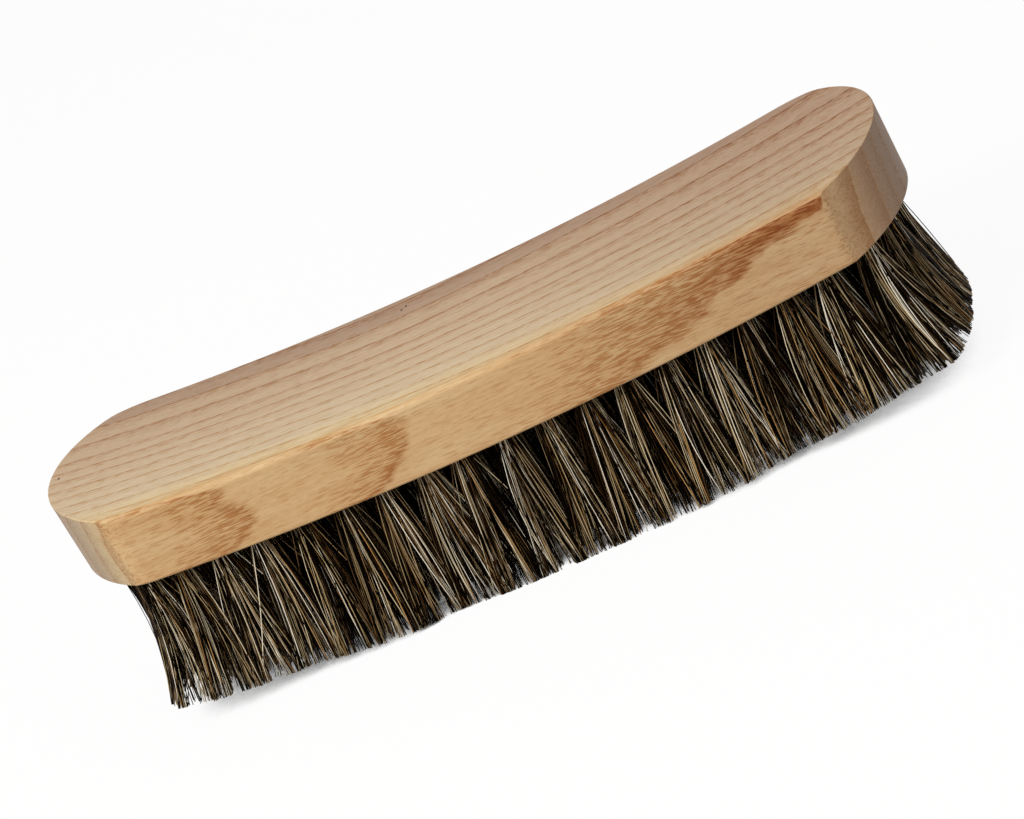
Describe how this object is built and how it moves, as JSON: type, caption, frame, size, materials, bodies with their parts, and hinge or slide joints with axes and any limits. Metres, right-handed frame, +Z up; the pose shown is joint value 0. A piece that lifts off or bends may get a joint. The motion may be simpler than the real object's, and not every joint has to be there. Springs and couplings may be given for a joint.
{
  "type": "horsehair brush",
  "caption": "Bent wooden brush block with rounded ends, set with tufts of mixed horsehair that fan out and are trimmed to a shallow crown.",
  "frame": {"origin": "on the surface that the brush stands on, under the middle of the block", "axes": "+X along the brush, +Y across it, +Z up from the hair ends towards the block"},
  "size_m": [0.2072, 0.0637, 0.0557],
  "materials": {
    "pale_hardwood": "bare sanded ring-porous hardwood, such as ash",
    "horsehair": "mixed black, brown and pale horsehair with a natural gloss"
  },
  "bodies": {
    "root": {"wood_block": "pale_hardwood", "tuft_row_01": "horsehair", "tuft_row_02": "horsehair", "tuft_row_03": "horsehair", "tuft_row_04": "horsehair", "tuft_row_05": "horsehair", "tuft_row_06": "horsehair", "tuft_row_07": "horsehair", "tuft_row_08": "horsehair", "tuft_row_09": "horsehair", "tuft_row_10": "horsehair", "tuft_row_11": "horsehair", "tuft_row_12": "horsehair", "tuft_row_13": "horsehair", "tuft_row_14": "horsehair", "tuft_row_15": "horsehair", "tuft_row_16": "horsehair", "tuft_row_17": "horsehair", "tuft_row_18": "horsehair", "tuft_row_19": "horsehair"}
  },
  "joints": []
}
